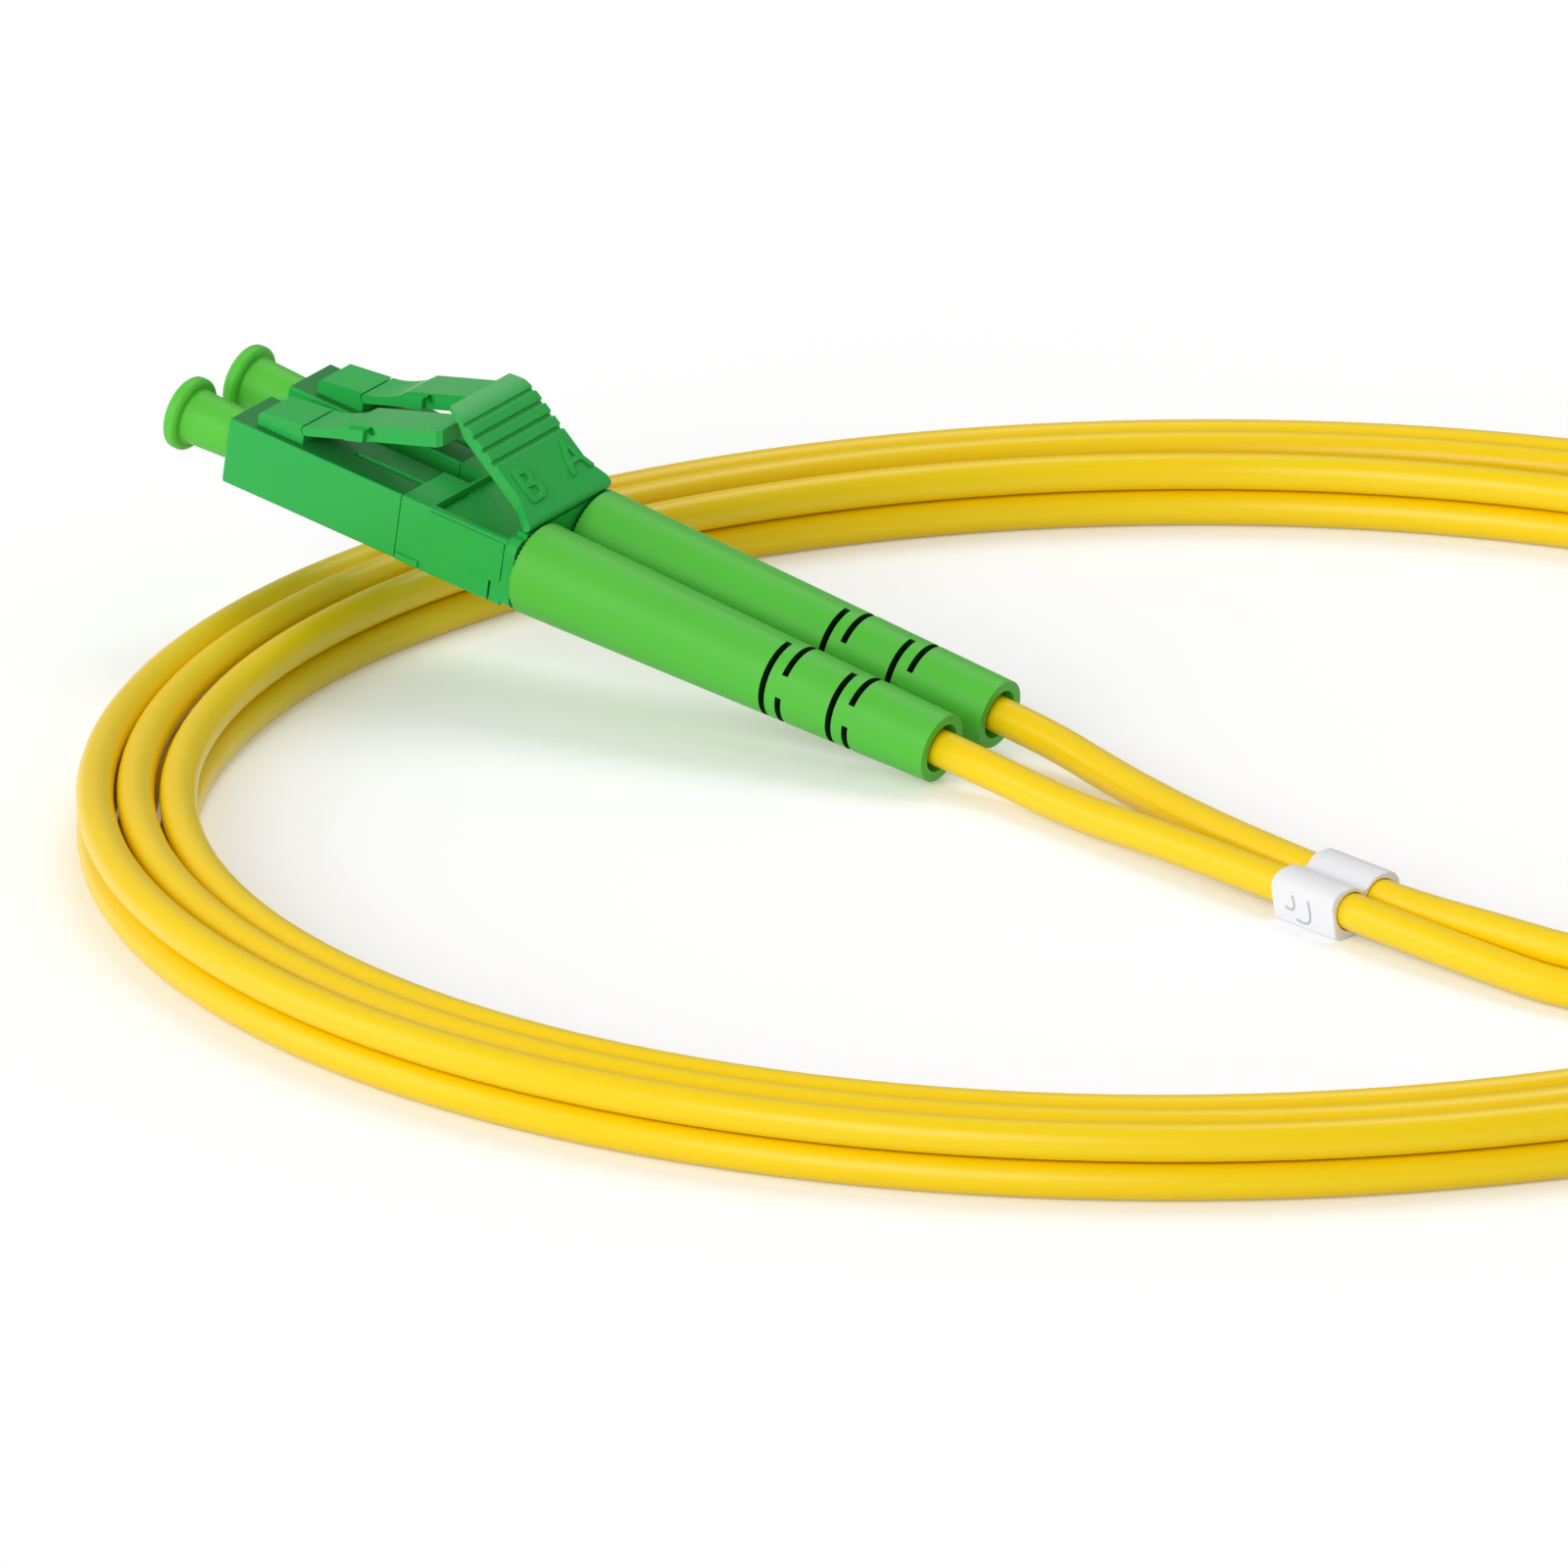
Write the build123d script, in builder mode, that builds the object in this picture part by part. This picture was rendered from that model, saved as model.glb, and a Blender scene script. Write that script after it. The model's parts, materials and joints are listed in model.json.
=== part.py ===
from build123d import *
from math import cos, degrees, pi, radians, sin, tan
import os

# Plug body, measured from its nose face; x runs back to the boots, z up, in millimetres
plug_pitch = 6.25
body_width = 4.45
body_height = 4.45
body_edge = 0.2
nose_chamfer = 0.14
seam = 13.2
seam_gap = 0.06
nose_bore_radius = 1.75
nose_bore_depth = 5.0
shoulder_thickness = 0.6
ferrule_clearance = 0.2
chamber_radius = 1.5
top_groove_start = 8.1
top_groove_width = 0.5
top_groove_depth = 0.25

# Latch: a foot on the body, a thin rising arm, two side lugs and a tail under the trigger
latch_width = 3.1
foot_start = 1.7
foot_height = 0.95
foot_bevel = 0.22
hinge_gap = 0.06
latch_pivot_x = 5.3
latch_pivot_height = 0.97
seat_top_angle = 122.0
seat_low_angle = 250.0
arm_thickness = 0.65
arm_waist = (6.5, 1.6)
arm_shoulder = (7.7, 2.18)
lug_front = 8.15
lug_rear = 9.75
lug_reach = 0.42
lug_height = 0.8
lug_notch_radius = 0.28
tail_end = 15.1
tail_slope = 18.0
tail_underside = 2.07
tail_depth = 1.13
tail_bevel = 0.3

# Trigger: a sloping ribbed plate hinged at the back of the duplex clip
trigger_pivot_x = 21.7
trigger_pivot_height = 0.88
trigger_slope = 35.8
trigger_length = 6.7
trigger_thickness = 0.82
trigger_width = 7.3
trigger_root_width = 8.7
trigger_tip_width = 6.3
tip_run = 2.05
tip_rise = 0.84
tip_bend = (0.9, 0.48)
tip_thickness = 0.36
tip_step = 0.72
tip_corner = 0.9
root_flare = 1.1
groove_count = 4
groove_start = -0.5
groove_pitch = 0.97
groove_width = 0.34
groove_depth = 0.22

# Duplex clip: one moulding round the backs of both plugs
clip_rear = 21.2
clip_wall = 0.5
clip_floor = 0.5
clip_side_gap = 1.8
clip_gap_end = 15.2
clip_window_start = 15.45
flange_thickness = 0.8
flange_margin = 0.12
panel_thickness = 0.15
panel_low = -0.54
panel_high = 2.05
panel_margin = 0.06
tab_end = 15.15
tab_height = 0.42
slit_start = 20.35
slit_width = 0.18
slit_height = 1.45

# Working parts inside each plug
ferrule_radius = 0.625
ferrule_nose = 1.7
ferrule_seat = 7.0
tip_angle = 8.0
press_gap = 0.015
collar_radius = 1.3
collar_length = 1.95
stem_radius = 0.85
stem_end = 11.4
ferrule_travel = 0.9
spring_seat = 12.4
spring_radius = 1.2
spring_wire = 0.16
spring_turns = 5
rear_body_clearance = 0.05
neck_radius = 1.25
neck_end = 25.6
fibre_radius = 0.45
fibre_start = 9.6
crimp_outer = 1.8
crimp_inner = 1.35
crimp_end = 26.6

# Boot: a long tapered sleeve with staggered slots near its end
boot_start = 22.05
boot_end = 52.65
boot_base_radius = 2.95
boot_end_radius = 2.2
boot_edge = 0.25
boot_bore_front = 1.92
boot_bore_depth = 27.0
boot_channel = 1.22
boot_mouth_radius = 1.55
boot_mouth_depth = 3.6
slot_start = 40.7
slot_step = 1.2
slot_pair_pitch = 4.9
slot_width = 0.42
slot_angle = 146.0
slot_turn = 18.0
slot_floor_radius = 1.5

# Dust cap: flanged end, tapered neck, sleeve over the ferrule
cap_end = 4.8
cap_flange_radius = 2.36
cap_flange_thickness = 1.0
cap_flange_edge = 0.22
cap_neck_radius = 1.75
cap_neck_front = 1.6
cap_insert_radius = 1.55
cap_insert_end = 4.6
cap_bore_clearance = 0.06
cap_bore_end = 2.6
cap_dimple_radius = 1.3
cap_dimple_depth = 0.5

# Cord: two strands, side by side or one on the other
cord_diameter = 2.3
strand_pitch = 2.36
cord_start = 25.75
tube_start = 50.2
cord_clip_length = 5.7
cord_clip_wall = 0.36
cord_clip_clearance = 0.05
cord_clip_round = 0.7

# Coil: three turns, each of two strands, one standing on the other
coil_centre = (-16.45, -11.14)
coil_outer_radius = 67.35
coil_band = 8.15
coil_inner_shift = (-0.8, -0.9)
coil_edge = 1.0

# How the two connectors lie: the near one nose up across the coil, the far one flat beside it
near_nose = (-55.82, 40.32, 13.55)
near_heading = -34.24
near_nose_up = 12.0
near_roll = 3.83
far_boots = (70.94, -23.26)
far_heading = 250.0

# Cord routes, chosen by hand, from the coil's centre, in the order in which a strand runs
near_exit = 56.0
near_b_branch = [(-7.5, 0.6, 1.6), (-1.5, -6.81, 2.01)]
near_a_branch = [(-4.54, 6.19, 1.97), (-0.75, -2.94, 1.5)]
near_pair = [
    (4.13, -13.97, 1.63), (10.57, -22.02, 1.63), (15.9, -28.08, 1.4), (21.63, -33.98, 1.15),
    (28.77, -36.62, 1.15), (36.23, -35.61, 1.15), (42.71, -31.28, 1.15), (47.9, -25.12, 1.15),
    (53.2, -17.16, 1.15), (57.2, -7.6, 1.15), (59.6, 2.4, 1.15),
]
near_pair_turns = [8, 8, 27, 45, 58, 69, 77, 82, 86, 88, 90]
far_pair = [(28.4, -60.9, 1.15), (37.3, -57.65, 1.4), (46.1, -54.1, 1.87), (54.5, -49.6, 1.87)]
far_pair_turns = [90, 65, 40, 40]
far_a_branch = [(62.0, -43.75, 1.7), (68.1, -36.5, 2.3)]
far_b_branch = [(59.8, -42.0, 3.0), (63.6, -34.7, 2.95)]
far_exit = 58.15

# Sizes that follow from the ones above
half_body = body_height / 2
chamber_start = nose_bore_depth + shoulder_thickness
latch_pivot_z = half_body + latch_pivot_height
trigger_pivot_z = half_body + trigger_pivot_height
clip_front = seam + seam_gap
clip_half_width = plug_pitch / 2 + body_width / 2
pocket_width = body_width - 2 * clip_wall
seat_radius = arm_thickness / 2 + hinge_gap
flange_rear = clip_rear + flange_thickness
far_nose_height = boot_base_radius
pieces = []


def finish(part, name):
    """Label one finished piece and keep it for export."""
    part.label = name
    pieces.append(part)


def seat_plane(origin, heading, nose_up, roll):
    """The plane of a connector: x runs back along it, z is its upper side."""
    h, n, r = radians(heading), radians(nose_up), radians(roll)
    back = Vector(cos(h) * cos(n), sin(h) * cos(n), -sin(n))
    side = Vector(-sin(h), cos(h), 0)
    upper = back.cross(side)
    return Plane(origin=origin, x_dir=back, z_dir=upper * cos(r) - side * sin(r))


def from_centre(point):
    """A point of the layout, moved from the coil's centre to the part's own frame."""
    return Vector(point[0] + coil_centre[0], point[1] + coil_centre[1], point[2])


far_nose_x = far_boots[0] - boot_end * cos(radians(far_heading))
far_nose_y = far_boots[1] - boot_end * sin(radians(far_heading))
seats = {
    "near": seat_plane(from_centre(near_nose), near_heading, near_nose_up, near_roll),
    "far": seat_plane(from_centre((far_nose_x, far_nose_y, far_nose_height)), far_heading, 0, 0),
}
sides = {"a": plug_pitch / 2, "b": -plug_pitch / 2}


def tail_under(x):
    """Height of the latch tail's underside above the plug's axis."""
    return half_body + tail_underside + (x - lug_rear) * tan(radians(tail_slope))


def tail_top(x):
    """Height of the latch tail's top above the plug's axis."""
    return tail_under(x) + tail_depth


def make_front_housing():
    """Square front body with its nose bore, spring chamber and the foot of the latch."""
    with BuildPart() as front_housing:
        with BuildSketch(Plane.YZ):
            RectangleRounded(body_width, body_height, body_edge)
        extrude(amount=seam)
        chamfer(front_housing.faces().sort_by(Axis.X)[0].edges(), nose_chamfer)
        with BuildSketch(Plane.XZ):
            with BuildLine():
                seat_arc = CenterArc(
                    (latch_pivot_x, latch_pivot_z),
                    seat_radius,
                    seat_top_angle,
                    seat_low_angle - seat_top_angle,
                )
                Polyline(
                    seat_arc @ 1,
                    ((seat_arc @ 1).X, half_body - body_edge),
                    (foot_start, half_body - body_edge),
                    (foot_start, half_body + foot_height - foot_bevel),
                    (foot_start + foot_bevel, half_body + foot_height),
                    seat_arc @ 0,
                )
            make_face()
        extrude(amount=latch_width / 2, both=True)
        with BuildSketch(Plane.YZ):
            Circle(nose_bore_radius)
        extrude(amount=nose_bore_depth, mode=Mode.SUBTRACT)
        with BuildSketch(Plane.YZ):
            Circle(ferrule_radius + ferrule_clearance)
        extrude(amount=chamber_start, mode=Mode.SUBTRACT)
        with BuildSketch(Plane.YZ.offset(chamber_start)):
            Circle(chamber_radius)
        extrude(amount=seam - chamber_start, mode=Mode.SUBTRACT)
        with BuildSketch(Plane.XY.offset(half_body)):
            with Locations(((top_groove_start + seam) / 2, 0)):
                Rectangle(seam - top_groove_start, top_groove_width)
        extrude(amount=-top_groove_depth, mode=Mode.SUBTRACT)
    return front_housing.part


def make_latch():
    """Springy arm that rises from the foot, with two side lugs and the tail."""
    half_arm = arm_thickness / 2
    shoulder = (arm_shoulder[0], half_body + arm_shoulder[1])
    with BuildPart() as latch:
        with BuildSketch(Plane.XZ):
            with BuildLine():
                Polyline(
                    (latch_pivot_x, latch_pivot_z - half_arm),
                    (lug_rear, tail_under(lug_rear)),
                    (tail_end, tail_under(tail_end)),
                    (tail_end - 0.15, tail_top(tail_end - 0.15)),
                    (lug_front + 0.2, tail_top(lug_front + 0.2)),
                    shoulder,
                )
                Spline(
                    shoulder,
                    (arm_waist[0], half_body + arm_waist[1]),
                    (latch_pivot_x, latch_pivot_z + half_arm),
                    tangents=((-1, -0.6), (-1, -0.1)),
                )
                ThreePointArc(
                    (latch_pivot_x, latch_pivot_z + half_arm),
                    (latch_pivot_x - half_arm, latch_pivot_z),
                    (latch_pivot_x, latch_pivot_z - half_arm),
                )
            make_face()
        extrude(amount=latch_width / 2, both=True)
        chamfer(
            latch.faces().sort_by(Axis.Z)[-1].edges().filter_by(Axis.Y, reverse=True), tail_bevel
        )
        with BuildSketch(Plane.XZ):
            with BuildLine():
                Polyline(
                    (lug_front + 0.25, tail_under(lug_rear) - 0.3),
                    (lug_rear - 0.05, tail_under(lug_rear) + 0.05),
                    (lug_rear - 0.05, tail_under(lug_rear) + 0.05 + lug_height),
                    (lug_front + 0.25, tail_under(lug_rear) - 0.3 + lug_height),
                    close=True,
                )
            make_face()
        extrude(amount=latch_width / 2 + lug_reach, both=True)
        for side in (-1, 1):
            notch_plane = Plane.XZ.offset(-side * (latch_width / 2 - lug_reach))
            with BuildSketch(notch_plane):
                with Locations((lug_rear + lug_notch_radius, tail_under(lug_rear) + lug_height)):
                    Circle(lug_notch_radius)
            extrude(amount=-side * lug_reach * 2.5, mode=Mode.SUBTRACT)
    return latch.part


def make_trigger():
    """Ribbed finger plate that slopes from the clip's back edge up over both latch tails."""
    slope = radians(trigger_slope)
    half_plate = trigger_thickness / 2
    knee = (trigger_pivot_x - trigger_length * cos(slope), trigger_pivot_z + trigger_length * sin(slope))
    normal = (half_plate * sin(slope), half_plate * cos(slope))
    crown = (knee[0] + normal[0], knee[1] + normal[1])
    tip = (crown[0] - tip_run, crown[1] + tip_rise)
    face = Plane(
        origin=(crown[0], 0, crown[1]),
        x_dir=(cos(slope), 0, -sin(slope)),
        z_dir=(sin(slope), 0, cos(slope)),
    )
    with BuildPart() as trigger:
        with BuildSketch(Plane.XZ):
            with BuildLine():
                Line((trigger_pivot_x + normal[0], trigger_pivot_z + normal[1]), crown)
                ThreePointArc(crown, (crown[0] - tip_bend[0], crown[1] + tip_bend[1]), tip)
                Polyline(
                    tip,
                    (tip[0], tip[1] - tip_thickness),
                    (knee[0] - tip_step, tip[1] - 2 * tip_thickness),
                    (knee[0] - normal[0], knee[1] - normal[1]),
                    (trigger_pivot_x - normal[0], trigger_pivot_z - normal[1]),
                )
                ThreePointArc(
                    (trigger_pivot_x - normal[0], trigger_pivot_z - normal[1]),
                    (trigger_pivot_x + normal[1], trigger_pivot_z - normal[0]),
                    (trigger_pivot_x + normal[0], trigger_pivot_z + normal[1]),
                )
            make_face()
        extrude(amount=trigger_root_width / 2, both=True)
        with BuildSketch(face):
            for index in range(groove_count):
                with Locations((groove_start + index * groove_pitch, 0)):
                    Rectangle(groove_width, trigger_root_width)
        extrude(amount=-groove_depth, taper=20, mode=Mode.SUBTRACT)
        with BuildSketch(Plane.XY):
            with BuildLine():
                outline = Polyline(
                    (tip[0], 0),
                    (tip[0], trigger_tip_width / 2),
                    (tip[0] + tip_corner, trigger_width / 2),
                    (trigger_pivot_x - root_flare, trigger_width / 2),
                    (trigger_pivot_x, trigger_root_width / 2),
                    (trigger_pivot_x + 1, trigger_root_width / 2),
                    (trigger_pivot_x + 1, 0),
                )
                mirror(outline, about=Plane.XZ)
            make_face()
        extrude(amount=tip[1] + 1, mode=Mode.INTERSECT)
    return trigger.part


def make_duplex_clip():
    """One moulding that holds both plugs: two sleeves, a rear flange and the trigger's seat."""
    bottom = -half_body - 0.06
    with BuildPart() as clip:
        with BuildSketch(Plane.YZ.offset(clip_front)):
            with Locations((0, (half_body + bottom) / 2)):
                RectangleRounded(2 * clip_half_width, half_body - bottom, body_edge)
        extrude(amount=clip_rear - clip_front)
        with BuildSketch(Plane.YZ.offset(clip_rear)):
            with Locations((0, (half_body + bottom) / 2 + flange_margin / 2)):
                RectangleRounded(
                    2 * (clip_half_width + flange_margin),
                    half_body - bottom + flange_margin,
                    4 * body_edge,
                )
        extrude(amount=flange_thickness)
        for side in (-1, 1):
            wall = Plane.XZ.offset(-side * clip_half_width)
            with BuildSketch(wall):
                with Locations(((clip_window_start + clip_rear) / 2, (panel_low + panel_high) / 2)):
                    Rectangle(clip_rear - clip_window_start - 2 * panel_margin, panel_high - panel_low)
                with Locations(((clip_front + tab_end) / 2, bottom + tab_height / 2 + body_edge)):
                    Rectangle(tab_end - clip_front - 0.2, tab_height)
            extrude(amount=-side * panel_thickness)
        with BuildSketch(Plane.YZ.offset(clip_front)):
            with Locations((sides["a"], 0), (sides["b"], 0)):
                Rectangle(pocket_width, pocket_width)
        extrude(amount=clip_rear - clip_front, mode=Mode.SUBTRACT)
        with BuildSketch(Plane.XY.offset(half_body)):
            with Locations(((clip_front + clip_gap_end) / 2, 0)):
                Rectangle(clip_gap_end - clip_front, clip_side_gap)
        extrude(amount=-(half_body - bottom - clip_floor), mode=Mode.SUBTRACT)
        with BuildSketch(Plane.XY.offset(half_body)):
            with Locations(((clip_window_start + clip_rear) / 2, 0)):
                Rectangle(clip_rear - clip_window_start, 2 * (clip_half_width - clip_wall))
        extrude(amount=-(half_body - pocket_width / 2), mode=Mode.SUBTRACT)
        with BuildSketch(Plane.YZ.offset(clip_rear)):
            with Locations((sides["a"], 0), (sides["b"], 0)):
                Circle(neck_radius + 0.15)
        extrude(amount=flange_thickness, mode=Mode.SUBTRACT)
        with BuildSketch(Plane.XZ):
            with Locations((slit_start, bottom + slit_height / 2)):
                Rectangle(slit_width, slit_height)
        extrude(amount=clip_half_width + 1, both=True, mode=Mode.SUBTRACT)
        with BuildSketch(Plane.XZ):
            seat_top = trigger_pivot_z - trigger_thickness / 2 - hinge_gap
            with BuildLine():
                Polyline(
                    (clip_rear + 0.05, half_body - 0.2),
                    (clip_rear + 0.05, seat_top),
                    (flange_rear, seat_top),
                    (flange_rear, half_body - 0.2),
                    close=True,
                )
            make_face()
        extrude(amount=trigger_root_width / 2, both=True)
    return clip.part


def make_rear_body():
    """Back half of a plug: spring seat, square block inside the clip and the crimp neck."""
    block = pocket_width - 2 * rear_body_clearance
    with BuildPart() as rear_body:
        with BuildSketch(Plane.YZ.offset(spring_seat)):
            Circle(chamber_radius - rear_body_clearance)
        extrude(amount=clip_front + 0.05 - spring_seat)
        with BuildSketch(Plane.YZ.offset(clip_front + 0.05)):
            Rectangle(block, block)
        extrude(amount=clip_rear - clip_front - 0.1)
        with BuildSketch(Plane.YZ.offset(clip_rear - 0.05)):
            Circle(neck_radius)
        extrude(amount=neck_end - clip_rear + 0.05)
        with BuildSketch(Plane.YZ.offset(spring_seat)):
            Circle(fibre_radius + 0.1)
        extrude(amount=neck_end - spring_seat, mode=Mode.SUBTRACT)
    return rear_body.part


def make_ferrule():
    """Ceramic pin with the angled polished tip."""
    rise = ferrule_radius * tan(radians(tip_angle))
    with BuildPart() as ferrule:
        with BuildSketch(Plane.XZ):
            with BuildLine():
                Polyline(
                    (-ferrule_nose - rise, ferrule_radius),
                    (ferrule_seat, ferrule_radius),
                    (ferrule_seat, -ferrule_radius),
                    (-ferrule_nose + rise, -ferrule_radius),
                    close=True,
                )
            make_face()
        extrude(amount=ferrule_radius, both=True)
        with BuildSketch(Plane.YZ.offset(-ferrule_nose - 1)):
            Circle(ferrule_radius)
        extrude(amount=ferrule_seat + ferrule_nose + 1, mode=Mode.INTERSECT)
    return ferrule.part


def make_ferrule_flange():
    """Metal collar pressed on the ferrule, with the stem that guides the spring."""
    with BuildPart() as flange:
        with BuildSketch(Plane.YZ.offset(chamber_start + hinge_gap)):
            RegularPolygon(collar_radius, 6)
        extrude(amount=collar_length)
        with BuildSketch(Plane.YZ.offset(chamber_start + hinge_gap)):
            Circle(stem_radius)
        extrude(amount=stem_end - chamber_start - hinge_gap)
        with BuildSketch(Plane.YZ.offset(chamber_start)):
            Circle(ferrule_radius + press_gap)
        extrude(amount=ferrule_seat + 0.05 - chamber_start, mode=Mode.SUBTRACT)
        with BuildSketch(Plane.YZ.offset(ferrule_seat)):
            Circle(fibre_radius + 0.1)
        extrude(amount=stem_end - ferrule_seat, mode=Mode.SUBTRACT)
    return flange.part


def make_spring():
    """Compression spring between the collar and the rear body."""
    start = chamber_start + hinge_gap + collar_length + spring_wire
    length = spring_seat - spring_wire - start
    with BuildPart() as spring:
        with BuildLine():
            coil = Helix(
                pitch=length / spring_turns,
                height=length,
                radius=spring_radius,
                center=(start, 0, 0),
                direction=(1, 0, 0),
            )
        with BuildSketch(Plane(origin=coil @ 0, z_dir=coil % 0)):
            RegularPolygon(spring_wire, 4)
        sweep(is_frenet=True)
    return spring.part


def make_crimp_ring():
    """Metal ring that grips the cord's strength yarns on the neck."""
    with BuildPart() as crimp_ring:
        with BuildSketch(Plane.YZ.offset(boot_start + 0.1)):
            Circle(crimp_outer)
            Circle(crimp_inner, mode=Mode.SUBTRACT)
        extrude(amount=crimp_end - boot_start - 0.1)
    return crimp_ring.part


def make_boot():
    """Long tapered strain relief with pairs of slots, each pair a quarter turn from the last."""
    mouth = boot_end - boot_mouth_depth
    with BuildPart() as boot:
        with BuildSketch(Plane.XY):
            with BuildLine():
                Polyline(
                    (boot_start, boot_bore_front),
                    (boot_start, boot_base_radius),
                    (boot_end, boot_end_radius),
                    (boot_end, boot_mouth_radius),
                    (mouth, boot_channel),
                    (boot_bore_depth + 0.7, boot_channel),
                    (boot_bore_depth, boot_bore_front),
                    close=True,
                )
            make_face()
        revolve(axis=Axis.X)
        front_edges = boot.edges().filter_by(GeomType.CIRCLE).group_by(Axis.X)[0]
        chamfer(front_edges.sort_by(SortBy.RADIUS)[-1], boot_edge)
        for pair in range(2):
            for ring in range(2):
                station = slot_start + pair * slot_pair_pitch + ring * slot_step
                with BuildSketch(Plane.YZ.offset(station)):
                    for opposite in (0, 180):
                        middle = 180 - slot_turn - ring * 90 + opposite
                        with BuildLine():
                            outer = CenterArc(
                                (0, 0), boot_base_radius + 0.3, middle - slot_angle / 2, slot_angle
                            )
                            inner = CenterArc(
                                (0, 0), slot_floor_radius, middle - slot_angle / 2, slot_angle
                            )
                            Line(outer @ 0, inner @ 0)
                            Line(outer @ 1, inner @ 1)
                        make_face()
                extrude(amount=slot_width, mode=Mode.SUBTRACT)
    return boot.part


def make_dust_cap():
    """Round soft cap pushed over the ferrule: flange, tapered neck and blind sleeve."""
    bore = ferrule_radius + cap_bore_clearance
    with BuildPart() as dust_cap:
        with BuildSketch(Plane.XY):
            with BuildLine():
                Polyline(
                    (-cap_end + cap_dimple_depth, 0),
                    (-cap_end + cap_dimple_depth, cap_dimple_radius),
                    (-cap_end, cap_dimple_radius),
                    (-cap_end, cap_flange_radius),
                    (-cap_end + cap_flange_thickness, cap_flange_radius),
                    (-cap_end + cap_flange_thickness, cap_neck_radius),
                    (0, cap_neck_front),
                    (0.3, cap_insert_radius),
                    (cap_insert_end, cap_insert_radius),
                    (cap_insert_end, bore),
                    (-cap_bore_end, bore),
                    (-cap_bore_end, 0),
                    close=True,
                )
            make_face()
        revolve(axis=Axis.X)
        rim = dust_cap.edges().filter_by(GeomType.CIRCLE).sort_by(SortBy.RADIUS)[-2:]
        chamfer(rim, cap_flange_edge)
    return dust_cap.part


def make_fibre():
    """Buffered fibre from the ferrule's collar to the end of the jacket."""
    with BuildPart() as fibre:
        with BuildSketch(Plane.YZ.offset(fibre_start)):
            Circle(fibre_radius)
        extrude(amount=cord_start - fibre_start)
    return fibre.part


def make_cord_end():
    """The jacket's straight end inside the boot."""
    with BuildPart() as cord_end:
        with BuildSketch(Plane.YZ.offset(cord_start)):
            Circle(cord_diameter / 2 - 0.02)
        extrude(amount=tube_start - cord_start)
    return cord_end.part


plug_pieces = {
    "front_housing": make_front_housing(),
    "latch": make_latch(),
    "rear_body": make_rear_body(),
    "ferrule": make_ferrule(),
    "ferrule_flange": make_ferrule_flange(),
    "spring": make_spring(),
    "crimp_ring": make_crimp_ring(),
    "boot": make_boot(),
    "dust_cap": make_dust_cap(),
    "fibre": make_fibre(),
    "cord_end": make_cord_end(),
}
clip_pieces = {"duplex_clip": make_duplex_clip(), "trigger": make_trigger()}

for seat_name, seat in seats.items():
    for piece_name, piece in clip_pieces.items():
        finish(seat.location * piece, f"{seat_name}_{piece_name}")
    for side_name, offset_y in sides.items():
        for piece_name, piece in plug_pieces.items():
            place = seat.location * Location((0, offset_y, 0))
            finish(place * piece, f"{seat_name}_{piece_name}_{side_name}")


def boot_point(seat_name, side_name, reach):
    """A point on a boot's axis, at a distance from the nose."""
    return seats[seat_name].from_local_coords(Vector(reach, sides[side_name], 0))


def second_strand(route, turns):
    """The other strand of the pair, turned about the first one by an angle at each point."""
    points = []
    for index in range(len(turns)):
        before = route[max(index - 1, 0)]
        after = route[min(index + 1, len(turns) - 1)]
        ahead = (after - before).normalized()
        left = Vector(-ahead.Y, ahead.X, 0)
        turn = radians(turns[index])
        points.append(route[index] + (left * cos(turn) + Vector(0, 0, 1) * sin(turn)) * strand_pitch)
    return points


def corner_radii(points):
    """An arc for each corner, as large as its two runs allow."""
    radii = []
    for before, corner, after in zip(points, points[1:], points[2:]):
        shorter = min((corner - before).length, (after - corner).length)
        turn = (corner - before).get_angle(after - corner)
        radii.append(0.45 * shorter / tan(radians(turn) / 2))
    return radii


def make_cord(points, name):
    """A plain round tube along straight runs joined by tangent arcs."""
    radii = corner_radii(points)
    with BuildPart() as tube:
        with BuildLine():
            route = FilletPolyline(*points, radius=radii)
        with BuildSketch(Plane(origin=points[0], z_dir=points[1] - points[0])):
            Circle(cord_diameter / 2)
        sweep()
    volume = pi * (cord_diameter / 2) ** 2 * route.length
    print(name, "length", round(route.length, 1), "volume ratio", round(tube.part.volume / volume, 4))
    print(name, "radii", [round(r, 1) for r in radii])
    finish(tube.part, name)


lower_near = [from_centre(p) for p in near_pair]
upper_near = second_strand(lower_near, near_pair_turns)
lower_far = [from_centre(p) for p in far_pair]
upper_far = second_strand(lower_far, far_pair_turns)
near_b = [boot_point("near", "b", tube_start), boot_point("near", "b", near_exit)]
near_b += [from_centre(p) for p in near_b_branch] + lower_near
near_a = [boot_point("near", "a", tube_start), boot_point("near", "a", near_exit)]
near_a += [from_centre(p) for p in near_a_branch] + upper_near
far_a = lower_far + [from_centre(p) for p in far_a_branch]
far_a += [boot_point("far", "a", far_exit), boot_point("far", "a", tube_start)]
far_b = upper_far + [from_centre(p) for p in far_b_branch]
far_b += [boot_point("far", "b", far_exit), boot_point("far", "b", tube_start)]
make_cord(near_a, "near_cord_a")
make_cord(near_b, "near_cord_b")
make_cord(far_a, "far_cord_a")
make_cord(far_b, "far_cord_b")

with BuildPart() as cord_coil:
    with BuildSketch(Plane(origin=from_centre((0, 0, 0)))):
        Circle(coil_outer_radius)
        with Locations(coil_inner_shift):
            Circle(coil_outer_radius - coil_band, mode=Mode.SUBTRACT)
    extrude(amount=cord_diameter + strand_pitch)
    chamfer(cord_coil.edges(), coil_edge)
finish(cord_coil.part, "cord_coil")


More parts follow.
